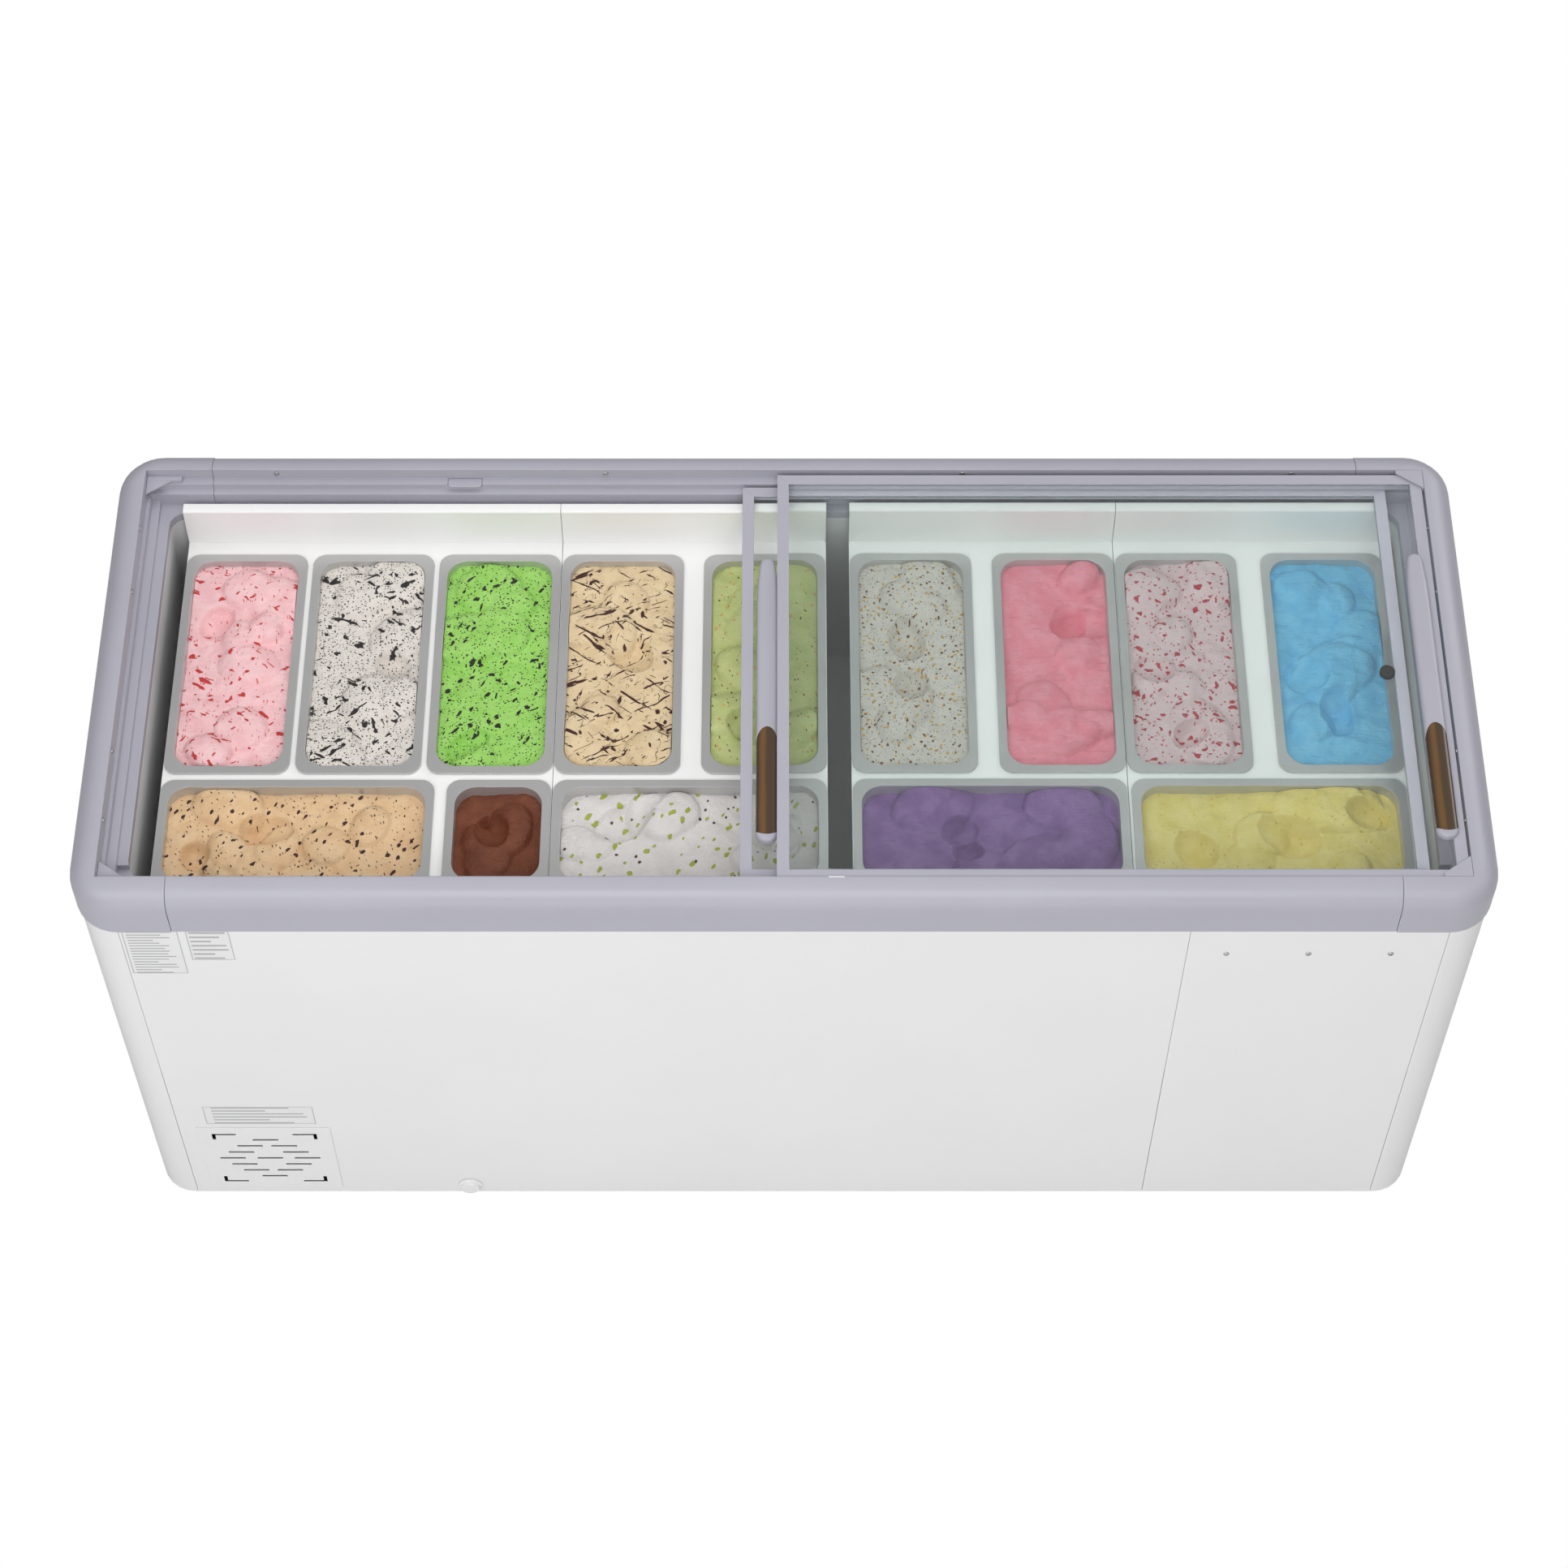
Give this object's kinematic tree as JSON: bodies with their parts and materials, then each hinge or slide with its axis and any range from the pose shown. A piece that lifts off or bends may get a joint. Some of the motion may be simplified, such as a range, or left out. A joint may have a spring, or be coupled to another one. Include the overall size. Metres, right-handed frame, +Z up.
{
  "type": "ice cream chest freezer",
  "caption": "Chest freezer for serving scooped ice cream: white cabinet, lavender rim, two sliding glass lids and steel pans in hanging trays.",
  "frame": {"origin": "centre of the footprint, on the floor under the casters", "axes": "+Z up, +X to the right along the cabinet, -Y out of the front, where the customer or server stands"},
  "size_m": [1.803, 0.7286, 0.8708],
  "materials": {
    "rim_lavender": "satin lavender-grey moulded and extruded plastic",
    "cabinet_white": "white powder-coated sheet steel",
    "tray_white": "gloss white painted sheet",
    "pan_steel": "satin stainless steel",
    "tank_grey": "embossed grey aluminium liner",
    "lid_glass": "clear toughened glass with a faint green tint",
    "grip_brown": "translucent brown streaked plastic",
    "black_rubber": "matte",
    "foam": "rigid polyurethane foam, not seen",
    "galvanised": "zinc-plated steel",
    "machine_black": "satin black",
    "compressor_shell": "black painted shell",
    "fin_aluminium": "bare fins",
    "caster_tyre": "dark grey rubber",
    "hose_grey": "grey hose"
  },
  "bodies": {
    "cabinet": {"rim_front_rail": "rim_lavender", "rim_back_rail": "rim_lavender", "rim_left_end": "rim_lavender", "rim_right_end": "rim_lavender", "lid_keeper_front_left": "rim_lavender", "lid_keeper_front_right": "rim_lavender", "lid_keeper_back_left": "rim_lavender", "lid_keeper_back_right": "rim_lavender", "lid_catch": "rim_lavender", "front_panel": "cabinet_white", "service_panel": "cabinet_white", "back_panel": "cabinet_white", "left_end_panel": "cabinet_white", "right_end_panel": "cabinet_white", "vent_grille": "cabinet_white", "base_plate": "galvanised", "inner_tank": "tank_grey", "insulation": "foam", "drain_tube": "hose_grey", "cord_gland": "machine_black", "fan_shroud": "machine_black", "compressor": "compressor_shell", "condenser": "fin_aluminium", "tray_1": "tray_white", "tray_2": "tray_white", "tray_3": "tray_white", "tray_4": "tray_white", "pan_back_1": "pan_steel", "pan_back_2": "pan_steel", "pan_back_3": "pan_steel", "pan_back_4": "pan_steel", "pan_back_5": "pan_steel", "pan_back_6": "pan_steel", "pan_back_7": "pan_steel", "pan_back_8": "pan_steel", "pan_back_9": "pan_steel", "pan_front_1": "pan_steel", "pan_front_2": "pan_steel", "pan_front_3": "pan_steel", "pan_front_4": "pan_steel", "pan_front_5": "pan_steel"},
    "upper_lid": {"upper_lid_frame": "rim_lavender", "upper_lid_glass": "lid_glass", "upper_lid_handle": "rim_lavender", "upper_lid_grip": "grip_brown"},
    "lower_lid": {"lower_lid_frame": "rim_lavender", "lower_lid_glass": "lid_glass", "lower_lid_handle": "rim_lavender", "lower_lid_grip": "grip_brown", "lower_lid_bumper": "black_rubber"},
    "fan": {"fan_rotor": "machine_black"},
    "drain_plug": {"drain_cap": "cabinet_white"},
    "caster_1": {"caster_fork_1": "galvanised"},
    "wheel_1": {"caster_wheel_1": "caster_tyre"},
    "caster_2": {"caster_fork_2": "galvanised"},
    "wheel_2": {"caster_wheel_2": "caster_tyre"},
    "caster_3": {"caster_fork_3": "galvanised"},
    "wheel_3": {"caster_wheel_3": "caster_tyre"},
    "caster_4": {"caster_fork_4": "galvanised"},
    "wheel_4": {"caster_wheel_4": "caster_tyre"}
  },
  "joints": [
    {"name": "upper_lid_slide", "type": "slide", "parent": "cabinet", "child": "upper_lid", "axis": [1, 0, 0], "range_m": [-0.807, 0]},
    {"name": "lower_lid_slide", "type": "slide", "parent": "cabinet", "child": "lower_lid", "axis": [1, 0, 0], "range_m": [-0.805, 0.047]},
    {"name": "fan_spin", "type": "hinge", "parent": "cabinet", "child": "fan", "pos_m": [0.385, 0.06, 0.19], "axis": [1, 0, 0], "continuous": true},
    {"name": "drain_cap_pull", "type": "slide", "parent": "cabinet", "child": "drain_plug", "axis": [0, -1, 0], "range_m": [0, 0.03]},
    {"name": "caster_1_swivel", "type": "hinge", "parent": "cabinet", "child": "caster_1", "pos_m": [-0.787, -0.2605, 0.058], "axis": [0, 0, 1], "continuous": true},
    {"name": "wheel_1_spin", "type": "hinge", "parent": "caster_1", "child": "wheel_1", "pos_m": [-0.787, -0.2445, 0.0225], "axis": [1, 0, 0], "continuous": true},
    {"name": "caster_2_swivel", "type": "hinge", "parent": "cabinet", "child": "caster_2", "pos_m": [0.787, -0.2605, 0.058], "axis": [0, 0, 1], "continuous": true},
    {"name": "wheel_2_spin", "type": "hinge", "parent": "caster_2", "child": "wheel_2", "pos_m": [0.787, -0.2445, 0.0225], "axis": [1, 0, 0], "continuous": true},
    {"name": "caster_3_swivel", "type": "hinge", "parent": "cabinet", "child": "caster_3", "pos_m": [-0.787, 0.2605, 0.058], "axis": [0, 0, 1], "continuous": true},
    {"name": "wheel_3_spin", "type": "hinge", "parent": "caster_3", "child": "wheel_3", "pos_m": [-0.787, 0.2765, 0.0225], "axis": [1, 0, 0], "continuous": true},
    {"name": "caster_4_swivel", "type": "hinge", "parent": "cabinet", "child": "caster_4", "pos_m": [0.787, 0.2605, 0.058], "axis": [0, 0, 1], "continuous": true},
    {"name": "wheel_4_spin", "type": "hinge", "parent": "caster_4", "child": "wheel_4", "pos_m": [0.787, 0.2765, 0.0225], "axis": [1, 0, 0], "continuous": true}
  ]
}
